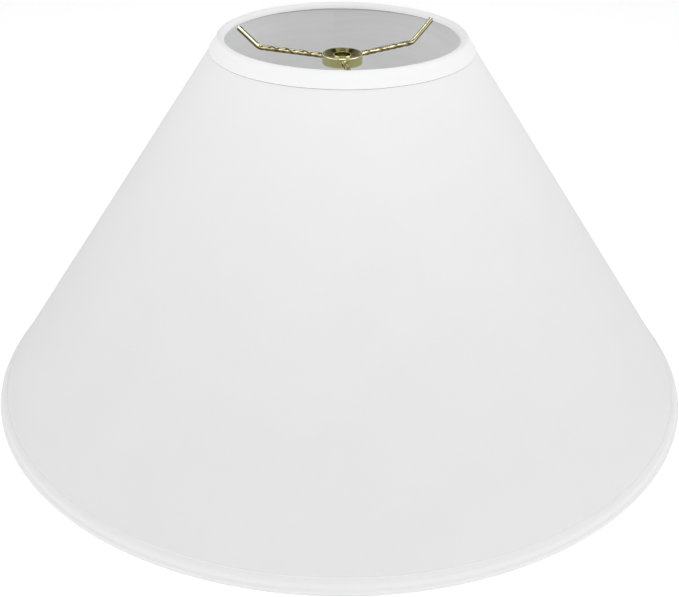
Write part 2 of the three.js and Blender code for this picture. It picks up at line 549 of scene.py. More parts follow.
@dataclass(frozen=True)
class ShadeLines:
    """The section that the round pieces are laid out on, as (distance from the axis, height)."""

    bottom_ring: Vector
    top_ring: Vector
    wire: float
    cover: float = 0.4 * MM
    lining: float = 0.5 * MM
    tape: float = 0.4 * MM
    gap: float = 0.3 * MM
    round_wire: float = 2.0 * MM
    snug: float = 0.5 * MM

    @classmethod
    def of_frame(cls) -> ShadeLines:
        """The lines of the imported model, whose rings are level eight-sided wires.

        Returns:
            The lines.
        """
        middles = []
        for node in ("bottom_ring", "top_ring"):
            low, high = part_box(node)
            reach = (high.z - low.z) / 2
            middles.append(Vector((high.x - reach, low.z + reach)))
        return cls(*middles, wire=2 * reach / math.cos(math.pi / 8))

    @property
    def roll(self) -> float:
        """The outer radius of the roll that a trim makes over an edge."""
        thick = (self.cover + self.lining + self.wire) / 2 + 2 * self.gap + self.tape
        return thick * math.cos(math.pi / 12)

    @property
    def cover_face(self) -> float:
        """How far the cover's outer face lies outside the line through the rolls' middles."""
        return (self.cover + self.lining + self.wire) / 2 + self.gap

    @property
    def lining_face(self) -> float:
        """How far the lining's outer face lies outside that line."""
        return self.cover_face - self.cover - self.gap

    @property
    def ring_offset(self) -> float:
        """How far the middle of a ring's wire lies outside that line."""
        return self.lining_face - self.lining - self.gap - self.wire / 2

    def middle(self, edge: Edge) -> Vector:
        """The middle of the roll over an edge."""
        ring = self.top_ring if edge is Edge.TOP else self.bottom_ring
        return ring - self.outward * self.ring_offset

    @property
    def up_slant(self) -> Vector:
        """The direction up the cone's side."""
        return (self.top_ring - self.bottom_ring).normalized()

    @property
    def outward(self) -> Vector:
        """The direction square to the cone's side, outwards."""
        return Vector((self.up_slant.y, -self.up_slant.x))

    def place(self, edge: Edge, inward: float, out: float) -> Vector:
        """The point of the section some way in from an edge along the side, and some way outwards."""
        return self.middle(edge) - self.up_slant * (edge.value * inward) + self.outward * out

    def ring_middle(self, edge: Edge) -> Vector:
        """The middle of the wire of an edge's ring, which sits snugly under the fold of the tape."""
        return self.place(edge, -self.snug, self.ring_offset)


# ---- Finishes ----


Colour = tuple[float, float, float, float]


def grey(level: float, blue: float | None = None) -> Colour:
    """A grey, or one with a little more or less blue in it."""
    return (level, level, level if blue is None else blue, 1.0)


@dataclass(frozen=True)
class WovenFinish:
    """Cloth in a plain weave, on the flat layout of the piece."""

    name: str
    light: Colour
    dark: Colour
    pitch: float
    turn: float = 0.0
    relief: float = 0.03 * MM
    rough: float = 0.86
    # Painted highlight along the tape's free edge: how strongly it is paled.
    painted_edge_highlight: float = 0.0
    # Painted shadow lines across the tape, as (place, half width).
    painted_shadow_lines: Sequence[tuple[float, float]] = ()
    # Painted shade towards the foot: where across the tape it starts.
    foot_shade_from: float = 0.0

    def material(self) -> Material:
        """Builds the material: threads that pass over and under, slubs, faint cloudiness and fine fuzz.

        Returns:
            The finished material.
        """
        g = SurfaceGraph(self.name)
        across, along = g.surface_place()
        cosine, sine = math.cos(self.turn), math.sin(self.turn)
        weft_way = across * cosine + along * sine
        warp_way = along * cosine - across * sine
        place = g.vector(weft_way, warp_way)
        drift = (g.noise(place, 6 * MM, 2.0) - 0.5) * (0.5 * self.pitch)
        warp_phase = (weft_way + drift) * (math.pi / self.pitch)
        weft_phase = (warp_way + drift) * (math.pi / self.pitch)
        warp, weft = g.math("SINE", warp_phase), g.math("SINE", weft_phase)
        over = warp * weft * 0.5 + 0.5
        threads = abs(warp) * over + abs(weft) * (1.0 - over)
        warp_slub = g.noise(g.vector(weft_way * 12.0, warp_way * 0.5), 4 * MM, 3.0, 0.6)
        weft_slub = g.noise(g.vector(weft_way * 0.5, warp_way * 12.0), 4 * MM, 3.0, 0.6)
        slubs = warp_slub * over + weft_slub * (1.0 - over)
        cloud = g.noise(place, 45 * MM, 3.0)
        tone = threads * 0.35 + slubs * 0.9 + cloud * 0.6 - 0.35
        lit = g.math("MINIMUM", g.math("MAXIMUM", tone, 0.0), 1.0)
        colour = g.blend(lit, self.dark, self.light)
        # Painted highlight: the colour is paled towards white within a millimetre of the tape's free edge,
        # standing in for light on the fold.
        if self.painted_edge_highlight:
            colour = g.blend(g.ease(along, 0.5 * MM, 1.0 * MM, self.painted_edge_highlight, 0.0), colour, grey(1.0))
        # Painted shadow: dark hairlines at the given places across the tape, standing in for the shadow at
        # its edges.
        for shadow_line_place, reach in self.painted_shadow_lines:
            shadow_line_mask = g.ease(abs(along - shadow_line_place), 0.6 * reach, reach, 0.8, 0.0)
            colour = g.blend(shadow_line_mask, colour, grey(0.15))
        # Painted shade: past this place the colour darkens to grey over the roll at the foot, standing in
        # for the shade under it.
        if self.foot_shade_from:
            foot_shade = g.ease(along, self.foot_shade_from, self.foot_shade_from + 2.5 * MM, 0.0, 0.5)
            colour = g.blend(foot_shade, colour, grey(0.60, 0.595))
        fuzz = g.noise(place, 0.12 * MM, 2.0)
        return g.finish(
            {
                "Base Color": colour,
                "Roughness": self.rough + (slubs - 0.5) * 0.12,
                "Normal": g.bump(threads * 0.7 + slubs * 0.6 + fuzz * 0.25, self.relief),
                "Sheen Weight": 0.02,
                "Sheen Roughness": 0.4,
                "Specular IOR Level": 0.1,
            }
        )


@dataclass(frozen=True)
class StyreneFinish:
    """Rolled styrene sheet: smooth, matt and faintly streaked the way it was rolled."""

    name: str = "styrene_sheet"
    # These greys are darker than the white styrene, painting in the shade inside the cone; their streaked
    # spread is the sheet's own.
    light: Colour = grey(0.76, 0.765)
    dark: Colour = grey(0.72, 0.725)
    # Painted shadow under the top ring: its colour, and the level above which it darkens the lining.
    rim_shadow: Colour = grey(0.30)
    rim_shadow_level: float = 0.2268

    def material(self) -> Material:
        """Builds the material, with a painted shadow band along the top of the lining, stronger towards the
        back.

        Returns:
            The finished material.
        """
        g = SurfaceGraph(self.name)
        across, along = g.surface_place()
        _, toward_back, level = g.parts(g.object_place())
        # Painted shadow: a dark band over the top of the lining, strongest at the back, standing in for the
        # shadow under the rim.
        rim_shadow_mask = g.ease(level, self.rim_shadow_level, self.rim_shadow_level + 0.8 * MM, 0.0, 0.55)
        rim_shadow_mask = rim_shadow_mask * g.ease(toward_back, 0.0, 60 * MM, 0.3, 1.0)
        streaks = g.noise(g.vector(across * 6.0, along * 0.4), 30 * MM, 3.0)
        cloud = g.noise(g.vector(across, along), 60 * MM, 2.0)
        orange_peel = g.noise(g.vector(across, along), 1.2 * MM, 2.0)
        scuffs = g.ease(g.noise(g.vector(across, along), 9 * MM, 5.0, 0.7), 0.56, 0.7)
        tone = g.ease(streaks * 0.5 + cloud * 0.5, 0.35, 0.65)
        return g.finish(
            {
                "Base Color": g.blend(rim_shadow_mask, g.blend(tone, self.dark, self.light), self.rim_shadow),
                "Roughness": 0.5 + (cloud - 0.5) * 0.15 + scuffs * 0.1,
                "Normal": g.bump(orange_peel + streaks * 0.5, 0.02 * MM),
                "Specular IOR Level": 0.4,
            }
        )


class Working(Enum):
    """How a metal piece was worked, which is the way its fine lines run."""

    TURNED = "turned"
    DRAWN = "drawn"


@dataclass(frozen=True)
class BrassFinish:
    """Bright brass plate, with fine tool lines, a little tarnish, and painted shade, reflections and
    highlights.
    """

    name: str
    working: Working
    bright: Colour = (0.84, 0.80, 0.50, 1.0)
    tarnished: Colour = (0.62, 0.55, 0.28, 1.0)
    # The dark of the painted shade and painted reflections on the brass.
    painted_dark_brown: Colour = (0.12, 0.08, 0.02, 1.0)
    # The pale of the painted highlight on a turned piece's rim.
    painted_rim_highlight: Colour = (0.97, 0.92, 0.72, 1.0)
    dish: tuple[float, float] = (0.0, 0.0)
    # The spacing of the painted reflection bands across a drawn piece.
    reflection_band_pitch: float = 4.4 * MM

    def _lines(self, g: SurfaceGraph) -> Signal:
        """Fine lines round a turned piece, or along a drawn one.

        Args:
            g: The material's tree.

        Returns:
            The lines' strength.
        """
        if self.working is Working.TURNED:
            x, y, z = g.parts(g.object_place())
            radius = g.math("SQRT", x * x + y * y)
            return g.noise(g.vector(radius * 20.0, z * 20.0), 2.5 * MM, 4.0, 0.6)
        across, along = g.surface_place()
        return g.noise(g.vector(across * 12.0, along * 0.3), 2 * MM, 4.0, 0.6)

    def _turned_tones(self, g: SurfaceGraph, place: Signal, colour: Signal) -> Signal:
        """Painted shade inside the dish and round the bore, and a painted highlight on the top of the outer
        edge.

        Args:
            g: The tree.
            place: The place on the piece.
            colour: The colour so far.

        Returns:
            The colour with both tones.
        """
        x, y, _ = g.parts(place)
        radius = g.math("SQRT", x * x + y * y)
        start, end = self.dish
        inside = g.ease(radius, start, start + 0.3 * MM) * g.ease(radius, end - 0.3 * MM, end, 1.0, 0.0)
        hole = g.ease(radius, start - 0.6 * MM, start - 0.5 * MM, 1.0, 0.0)
        # Painted shade: the dish and the bore are darkened towards brown.
        dish_shaded = g.blend(inside * 0.5 + hole * 0.5, colour, self.painted_dark_brown)
        # Painted highlight: the top of the rim's outer edge is paled, standing in for the light it catches.
        edge = g.ease(radius, end + 0.9 * MM, end + 1.15 * MM) * self._over_foot(g, place)
        return g.blend(edge, dish_shaded, self.painted_rim_highlight)

    def _over_foot(self, g: SurfaceGraph, place: Signal) -> Signal:
        """1 on the top of a turned piece and 0 on its side."""
        return g.ease(g.facing_up(), 0.12, 0.5)

    def material(self) -> Material:
        """Builds the material.

        Returns:
            The finished material.
        """
        g = SurfaceGraph(self.name)
        place = g.object_place()
        lines = self._lines(g)
        stain = g.ease(g.noise(place, 5 * MM, 4.0, 0.6), 0.48, 0.68)
        specks = g.ease(g.noise(place, 0.5 * MM, 3.0, 0.6), 0.62, 0.72)
        colour = g.blend(stain * 0.45 + specks * 0.3, self.bright, self.tarnished)
        if self.working is Working.TURNED:
            colour = self._turned_tones(g, place, colour)
        else:
            across, _ = g.surface_place()
            # Painted reflection: dark bands along the drawn rod, standing in for the dark things it
            # reflects.
            painted_reflection_bands = g.ease(g.math("SINE", across * (2 * math.pi / self.reflection_band_pitch)), 0.5, 0.8, 0.0, 0.8)
            colour = g.blend(painted_reflection_bands, colour, self.painted_dark_brown)
            # Painted shade: the colour turns dark brown where the surface faces down.
            colour = g.blend(g.ease(g.facing_up(), -0.35, 0.45, 1.0, 0.0), colour, self.painted_dark_brown)
        return g.finish(
            {
                "Base Color": colour,
                "Metallic": 1.0,
                "Roughness": 0.1 + stain * 0.1 + lines * 0.08 + specks * 0.1,
                "Normal": g.bump(lines, 0.012 * MM),
            }
        )


@dataclass(frozen=True)
class WireFinish:
    """Drawn steel wire."""

    name: str = "drawn_wire"
    light: Colour = (0.70, 0.71, 0.72, 1.0)
    dark: Colour = grey(0.46, 0.47)

    def material(self) -> Material:
        """Builds the material.

        Returns:
            The finished material.
        """
        g = SurfaceGraph(self.name)
        across, along = g.surface_place()
        lines = g.noise(g.vector(across * 10.0, along * 0.3), 1.5 * MM, 4.0, 0.6)
        dull = g.ease(g.noise(g.object_place(), 12 * MM, 4.0), 0.45, 0.65)
        return g.finish(
            {
                "Base Color": g.blend(dull, self.light, self.dark),
                "Metallic": 1.0,
                "Roughness": 0.28 + dull * 0.15 + lines * 0.1,
                "Normal": g.bump(lines, 0.01 * MM),
            }
        )


@dataclass(frozen=True)
class FloorFinish:
    """A plain, matt, nearly white floor, which glows a little so that it stays pale round the shade."""

    name: str = "pale_floor"
    light: Colour = grey(0.93)
    dark: Colour = grey(0.91)
    glow: float = 0.5

    def material(self) -> Material:
        """Builds the material.

        Returns:
            The finished material.
        """
        g = SurfaceGraph(self.name)
        cloud = g.noise(g.object_place(), 300 * MM, 3.0)
        return g.finish(
            {
                "Base Color": g.blend(cloud, self.dark, self.light),
                "Roughness": 0.9,
                "Specular IOR Level": 0.1,
                "Emission Color": grey(1.0),
                "Emission Strength": self.glow,
            }
        )


# ---- Cover and lining ----


def rolled_sheet_tree() -> Tree:
    """The rule of a sheet rolled into a cone whose end laps over its start at the back.

    Returns:
        A tree that makes the sheet's outer face from its section, its lap and its ripple, in metres. The
        sheet's UV map is its flat cut.
    """
    g = ShapeGraph("rolled_sheet")
    foot_radius, foot_height, head_radius, head_height = g.entries(
        "Foot radius", "Foot height", "Head radius", "Head height"
    )
    lap, ramp, lift = g.entries("Lap width", "Lap ramp", "Lap lift")
    ripple, ripple_length = g.entries("Ripple", "Ripple length")
    columns, rows = g.entry("Columns", "NodeSocketInt"), g.entry("Rows", "NodeSocketInt")
    material = g.entry("Material", "NodeSocketMaterial")

    sizes = {"Size X": 1.0, "Size Y": 1.0, "Vertices X": columns, "Vertices Y": rows}
    grid = g.node("GeometryNodeMeshGrid", None, sizes)
    x, y, _ = g.parts(g.node("GeometryNodeInputPosition"))
    run, rise = head_radius - foot_radius, head_height - foot_height
    slant = g.math("SQRT", run * run + rise * rise)
    radius = foot_radius + run * (y + 0.5)
    height = foot_height + rise * (y + 0.5)
    turn = lap / radius + 2 * math.pi
    angle = x * turn
    sine, cosine = g.math("SINE", angle), g.math("COSINE", angle)

    from_end = (0.5 - x) * turn * radius
    lifted = g.ease(from_end, lap, lap + ramp, lift, 0.0)
    around = g.vector(sine * radius, -(cosine * radius), height)
    waves = g.noise(around, ripple_length, 1.0)
    out = lifted + (waves - 0.5) * ripple
    far = radius + out * rise / slant
    level = height - out * run / slant

    narrowing = -run / slant
    from_apex, spread = radius / narrowing, angle * narrowing
    flat = (from_apex * g.math("SINE", spread), -(from_apex * g.math("COSINE", spread)))
    laid = g.keep_layout(grid, *flat)
    rolled = {"Geometry": laid, "Position": g.vector(sine * far, -(cosine * far), level)}
    return g.close(g.node("GeometryNodeSetPosition", None, rolled), material)


@dataclass
class RolledCone:
    """The cover and the lining, each one sheet that is rolled up and lapped at the back."""

    lines: ShadeLines
    cover_lap: float = 9 * MM
    lining_lap: float = 12 * MM
    ramp: float = 5 * MM
    cover_lift: float = 0.45 * MM
    lining_lift: float = -0.03 * MM
    ripple: float = 0.12 * MM
    ripple_length: float = 70 * MM
    columns: int = 420
    rows: int = 60
    cloth: WovenFinish = WovenFinish(
        "cover_cloth", grey(0.885), grey(0.835, 0.838), pitch=0.45 * MM
    )
    styrene: StyreneFinish = StyreneFinish()

    def _sheet(
        self,
        name: str,
        tree: Tree,
        face: float,
        thickness: float,
        lap: float,
        lift: float,
        material: Material,
    ) -> Piece:
        """Rolls one sheet.

        Args:
            name: The piece's name.
            tree: The rule of a rolled sheet.
            face: How far its outer face lies outside the line through the rolls' middles.
            thickness: Its thickness.
            lap: The width of its lap.
            lift: How far the lap's end stands out from the sheet, or in where it is less than 0.
            material: Its finish.

        Returns:
            The sheet as a closed mesh.
        """
        foot = self.lines.place(Edge.BOTTOM, 0.0, face)
        head = self.lines.place(Edge.TOP, 0.0, face)
        values = {
            "Foot radius": foot.x,
            "Foot height": foot.y,
            "Head radius": head.x,
            "Head height": head.y,
            "Lap width": lap,
            "Lap ramp": self.ramp,
            "Lap lift": lift,
            "Ripple": self.ripple,
            "Ripple length": self.ripple_length,
            "Columns": self.columns,
            "Rows": self.rows,
            "Material": material,
        }
        return grow(new_object(name, [], [], []), tree, values, thickness)

    def _flat_cut(self) -> tuple[tuple[float, float], float]:
        """The size of the cloth that the cover is cut from, and the area of the cut.

        Returns:
            The smallest rectangle round the cut as (width, depth), and the cut's area, in metres.
        """
        foot = self.lines.place(Edge.BOTTOM, 0.0, self.lines.cover_face)
        head = self.lines.place(Edge.TOP, 0.0, self.lines.cover_face)
        slant = (head - foot).length
        outside = slant * foot.x / (foot.x - head.x)
        spread = 2 * math.pi * foot.x / outside
        depth = outside * (1 - math.cos(spread / 2))
        area = math.pi * (foot.x + head.x) * slant + self.cover_lap * slant
        return (2 * outside, depth), area

    def build(self) -> list[Piece]:
        """Makes the cover and the lining.

        Returns:
            Both pieces.
        """
        lines, tree = self.lines, rolled_sheet_tree()
        cloth, styrene = self.cloth.material(), self.styrene.material()
        outer = (lines.cover_face, lines.cover, self.cover_lap, self.cover_lift)
        inner = (lines.lining_face, lines.lining, self.lining_lap, self.lining_lift)
        cover = self._sheet("cover_cloth", tree, *outer, cloth)
        lining = self._sheet("styrene_sheet", tree, *inner, styrene)
        mount(cover, "cover_fabric")
        mount(lining, "styrene_lining")
        flat, area = self._flat_cut()
        return [cover, lining]


# ---- Trims ----


@dataclass
class Trim:
    """A folded tape turned over an edge of the shade and round its ring."""

    name: str
    node: str
    edge: Edge
    lines: ShadeLines
    finish: WovenFinish
    band: float
    folds: Sequence[tuple[float, float]]
    notches: Sequence[float] = ()
    seed: int = 1
    join: float = 10 * MM
    join_ramp: float = 3 * MM
    join_step: float = 0.08 * MM
    hug: float = 1.4 * MM
    tuck_angle: float = 236.0
    notch_width: float = 3.5 * MM
    notch_end: float = math.radians(132)
    join_gap: float = 0.02 * MM
    stand_off: float = 0.03 * MM
    floor_gap: float = 0.02 * MM
    wander: float = 0.14 * MM
    pucker: float = 0.035 * MM
    steps: int = 360

    def _angles(self) -> np.ndarray:
        """The angles of the cross-sections round the shade, from one end of the tape to the other.

        Returns:
            Angles in radians from the front, closer together at the notches and at the tape's ends.
        """
        radius = self.lines.middle(self.edge).x
        reach = math.pi + self.join / radius / 2
        even = np.linspace(-reach, reach, self.steps)
        near = np.arange(-3.0 * MM, 3.01 * MM, 0.25 * MM) / radius
        extra = [np.clip(notch + near, -reach, reach) for notch in self.notches]
        ends = np.arange(0.0, self.join + 2 * self.join_ramp, 0.8 * MM) / radius
        return np.unique(np.concatenate([even, reach - ends, ends - reach, *extra]).round(7))

    def _across(self) -> tuple[np.ndarray, np.ndarray, np.ndarray]:
        """The tape's path across its width, in the section's own directions.

        Returns:
            The way in from the roll's middle, the way out, and the tape's direction angle round the roll,
            with one entry for each point. The angle is 0 on the band and counts up round the roll.
        """
        flap = self.band - self.lines.roll
        places, heights = np.array(self.folds).T * MM
        fine = np.concatenate([np.linspace(0.0, 0.9 * MM, 10), np.linspace(1.1 * MM, flap, 22)])
        rise = np.interp(fine, places, heights)
        for _ in range(2):
            rise[1:-1] = (rise[:-2] + 2 * rise[1:-1] + rise[2:]) / 4
        roll = np.radians(np.arange(6.0, 169.0, 6.0))
        turn = np.radians(np.arange(180.0, self.tuck_angle, 7.0))
        over_in, over_out = -self.lines.roll * np.sin(roll), self.lines.roll * np.cos(roll)
        under_in = -self.lines.snug - self.hug * np.sin(turn)
        under_out = self.hug * np.cos(turn) - (self.lines.roll - self.hug)
        ways_in = np.concatenate([flap - fine, over_in, under_in])
        ways_out = np.concatenate([self.lines.cover_face + rise, over_out, under_out])
        return ways_in, ways_out, np.concatenate([np.zeros(len(fine)), roll, turn])

    def _wall(
        self, ways_in: np.ndarray, ways_out: np.ndarray, angles: np.ndarray
    ) -> tuple[np.ndarray, np.ndarray]:
        """The back face of the tape across its width: a thickness behind the front, or on the cover.

        Args:
            ways_in: The front's way in from the roll's middle.
            ways_out: Its way out.
            angles: The tape's direction angle round the roll.

        Returns:
            The back's way in and way out.
        """
        normal_in, normal_out = -np.sin(angles), np.cos(angles)
        back_in = ways_in - normal_in * self.lines.tape
        back_out = ways_out - normal_out * self.lines.tape
        on_cover = angles == 0
        back_out[on_cover] = self.lines.cover_face + self.stand_off
        return back_in, back_out

    def build(self) -> Piece:
        """Makes the tape.

        Returns:
            The piece, riding on the shade.
        """
        lines, around = self.lines, self._angles()
        ways_in, ways_out, angles = self._across()
        back_in, back_out = self._wall(ways_in, ways_out, angles)
        steps = np.hypot(np.diff(ways_in), np.diff(ways_out))
        run = np.concatenate([[0.0], np.cumsum(steps)])
        radius = lines.middle(self.edge).x
        reach = around[-1]

        wander = Wobble(self.seed, (3, 5, 8, 13, 21)).at(around) * self.wander
        puckers = Wobble(self.seed + 1, (31, 47, 59, 83, 97)).at(around) * self.pucker
        from_end = (reach - around) * radius
        lap = np.clip((self.join + self.join_ramp - from_end) / self.join_ramp, 0.0, 1.0)
        lap = lap * lap * (3 - 2 * lap)
        lifts = (lap * self.join_step, lap * (lines.tape + self.join_gap))

        stop = np.full(len(around), run[-1])
        held = np.interp(self.notch_end, angles, run)
        for notch in self.notches:
            away = np.abs(around - notch) * radius
            edge = np.clip((away - self.notch_width / 2) / (0.5 * MM), 0.0, 1.0)
            stop = np.minimum(stop, held + (run[-1] - held) * edge)
        top = np.interp(math.pi / 2, angles, run)

        outer = np.zeros((len(around), len(run), 3))
        inner = np.zeros_like(outer)
        layout = np.zeros((len(around), len(run), 2))
        flat_part = np.clip(1 - run / (2.5 * MM), 0.0, 1.0)
        inside = np.clip((run - top) / (2 * MM), 0.0, 1.0)
        for i, angle in enumerate(around):
            squeeze = (stop[i] - top) / (run[-1] - top)
            at = np.where(run > top, top + (run - top) * squeeze, run)
            front = self._section(at, run, ways_in, ways_out)
            back = self._section(at, run, back_in, back_out)
            away = np.interp(at, run, angles)
            pucker = puckers[i] * (0.35 + inside)
            for target, (way_in, way_out), lift in ((outer, front, lifts[0]), (inner, back, lifts[1])):
                push = lift[i] + pucker
                shifted_in = way_in - np.sin(away) * push + wander[i] * flat_part
                shifted_out = way_out + np.cos(away) * push
                target[i] = self._in_space(angle, shifted_in, shifted_out)
            layout[i, :, 0] = angle * radius
            layout[i, :, 1] = at
        made = strip(self.name, outer, inner, layout, self.finish.material())
        mount(made, self.node)
        length = 2 * reach * radius
        return made

    @staticmethod
    def _section(at: np.ndarray, run: np.ndarray, ways_in: np.ndarray, ways_out: np.ndarray) -> tuple:
        """The path's points at some distances along it."""
        return np.interp(at, run, ways_in), np.interp(at, run, ways_out)

    def _in_space(self, angle: float, way_in: np.ndarray, way_out: np.ndarray) -> np.ndarray:
        """Puts a cross-section's points into the shade, no lower than the floor that it stands on.

        Args:
            angle: The cross-section's direction, in radians from the front.
            way_in: Each point's way in from the roll's middle.
            way_out: Its way out.

        Returns:
            The points, in metres.
        """
        middle, slant, outward = self.lines.middle(self.edge), self.lines.up_slant, self.lines.outward
        down = -self.edge.value * way_in
        far = middle.x + slant.x * down + outward.x * way_out
        level = middle.y + slant.y * down + outward.y * way_out
        level = np.maximum(level, self.floor_gap)
        return np.stack([far * math.sin(angle), -far * math.cos(angle), level], -1)


BIAS_TAPE: Mapping[str, Any] = {
    "light": grey(0.93),
    "dark": grey(0.885, 0.888),
    "pitch": 0.38 * MM,
    "turn": math.pi / 4,
    "relief": 0.025 * MM,
}


def top_trim(lines: ShadeLines, arms: Sequence[float]) -> Trim:
    """The tape over the top edge, notched where the arms meet the ring.

    Args:
        lines: The lines of the shade.
        arms: The directions of those arms, in radians anticlockwise from +X.

    Returns:
        The trim, not yet built.
    """
    # Painted shadow lines at the tape's free edge and at its tucked inner end.
    painted_shadow_lines = ((0.0, 0.35 * MM), (17.5 * MM, 0.9 * MM))
    return Trim(
        "top_tape",
        "top_trim",
        Edge.TOP,
        lines,
        WovenFinish("top_tape", painted_edge_highlight=0.4, painted_shadow_lines=painted_shadow_lines, **BIAS_TAPE),
        band=11.4 * MM,
        folds=((0.0, 0.12), (0.22, 0.55), (0.6, 0.64), (1.2, 0.54), (1.8, 0.6), (8.8, 0.61)),
        notches=[(arm + math.pi / 2 + math.pi) % (2 * math.pi) - math.pi for arm in arms],
    )


def bottom_trim(lines: ShadeLines) -> Trim:
    """The tape over the bottom edge.

    Args:
        lines: The lines of the shade.

    Returns:
        The trim, not yet built.
    """
    upper = ((0.0, 0.08), (0.5, 0.27), (1.1, 0.42), (1.5, 0.42), (2.0, 0.58))
    lower = ((2.5, 0.50), (3.3, 0.70), (6.2, 0.44), (7.6, 0.61))
    return Trim(
        "bottom_tape",
        "bottom_trim",
        Edge.BOTTOM,
        lines,
        # Painted highlight on the upper edge and painted shade over the roll at the foot.
        WovenFinish("bottom_tape", painted_edge_highlight=0.8, foot_shade_from=7.6 * MM, **BIAS_TAPE),
        band=10.2 * MM,
        folds=(*upper, *lower),
        seed=7,
    )


# ---- Rings, hub and arms ----


def wire_ring_tree() -> Tree:
    """A round wire swept round the shade's axis, with its UV map across and along the wire.

    Returns:
        A tree that makes the ring from its radius, its height and the radius of its wire.
    """
    g = ShapeGraph("wire_ring")
    radius, height, wire = g.entries("Radius", "Height", "Wire radius")
    material = g.entry("Material", "NodeSocketMaterial")
    path = g.node("GeometryNodeCurvePrimitiveCircle", None, {"Resolution": 256, "Radius": radius})
    outline = g.node("GeometryNodeCurvePrimitiveCircle", None, {"Resolution": 16, "Radius": wire})
    swept = g.node("GeometryNodeCurveToMesh", None, {"Curve": path, "Profile Curve": outline})
    raised = g.node("GeometryNodeTransform", None, {"Geometry": swept, "Translation": g.vector(z=height)})
    x, y, z = g.parts(g.node("GeometryNodeInputPosition"))
    far = g.math("SQRT", x * x + y * y)
    across = g.math("ARCTAN2", z - height, far - radius) * wire
    along = g.math("ARCTAN2", y, x) * radius
    return g.close(g.keep_layout(raised, across, along), material)


@dataclass
class EdgeRing:
    """The wire ring inside an edge."""

    name: str
    node: str
    slot: str
    edge: Edge
    lines: ShadeLines

    def build(self, tree: Tree, material: Material) -> Piece:
        """Makes the ring with the shared tree.

        Args:
            tree: The rule of a wire ring.
            material: Its finish.

        Returns:
            The ring.
        """
        middle = self.lines.ring_middle(self.edge)
        values = {
            "Radius": middle.x,
            "Height": middle.y,
            "Wire radius": self.lines.round_wire / 2,
            "Material": material,
        }
        made = grow(new_object(self.name, [], [], []), tree, values)
        mount(made, self.node)
        return made


def twisted_arm_tree() -> Tree:
    """A rounded square rod on a bent path, twisted as far as its bend, and flared by braze at its start.

    Returns:
        A tree that makes the rod from the line that it is given.
    """
    g = ShapeGraph("twisted_arm")
    side, corner, bend, pitch = g.entries("Rod side", "Rod corner", "Bend radius", "Twist pitch")
    twisted, flare, flare_length, step = g.entries("Twisted length", "Flare", "Flare length", "Step")
    material = g.entry("Material", "NodeSocketMaterial")

    line = g.node("GeometryNodeMeshToCurve", None, {"Mesh": g.geometry()})
    bent = g.fillet(line, 16, bend)
    even = g.node("GeometryNodeResampleCurve", {"mode": "LENGTH"}, {"Curve": bent, "Length": step})
    upright = g.node("GeometryNodeSetCurveNormal", {"mode": "Z_UP"}, {"Curve": even})
    along = g.node("GeometryNodeSplineParameter").out("Length")
    twist = g.math("MINIMUM", along, twisted) * (2 * math.pi) / pitch
    tilted = g.node("GeometryNodeSetCurveTilt", None, {"Curve": upright, "Tilt": twist})
    square = g.node("GeometryNodeCurvePrimitiveQuadrilateral", None, {"Width": side, "Height": side})
    outline = g.fillet(square, 4, corner)
    kept, kept_round = (
        g.node(
            "GeometryNodeStoreNamedAttribute",
            {"data_type": "FLOAT", "domain": "POINT"},
            {"Geometry": curve, "Name": name, "Value": along},
        )
        for curve, name in ((tilted, "along"), (outline, "across"))
    )
    swelling = g.ease(along, 0.0, flare_length, flare, 1.0)
    sweep = {"Curve": kept, "Profile Curve": kept_round, "Scale": swelling, "Fill Caps": True}
    swept = g.node("GeometryNodeCurveToMesh", None, sweep)
    stored = [
        g.node("GeometryNodeInputNamedAttribute", {"data_type": "FLOAT"}, {"Name": name})
        for name in ("across", "along")
    ]
    return g.close(g.keep_layout(swept, *stored), material)


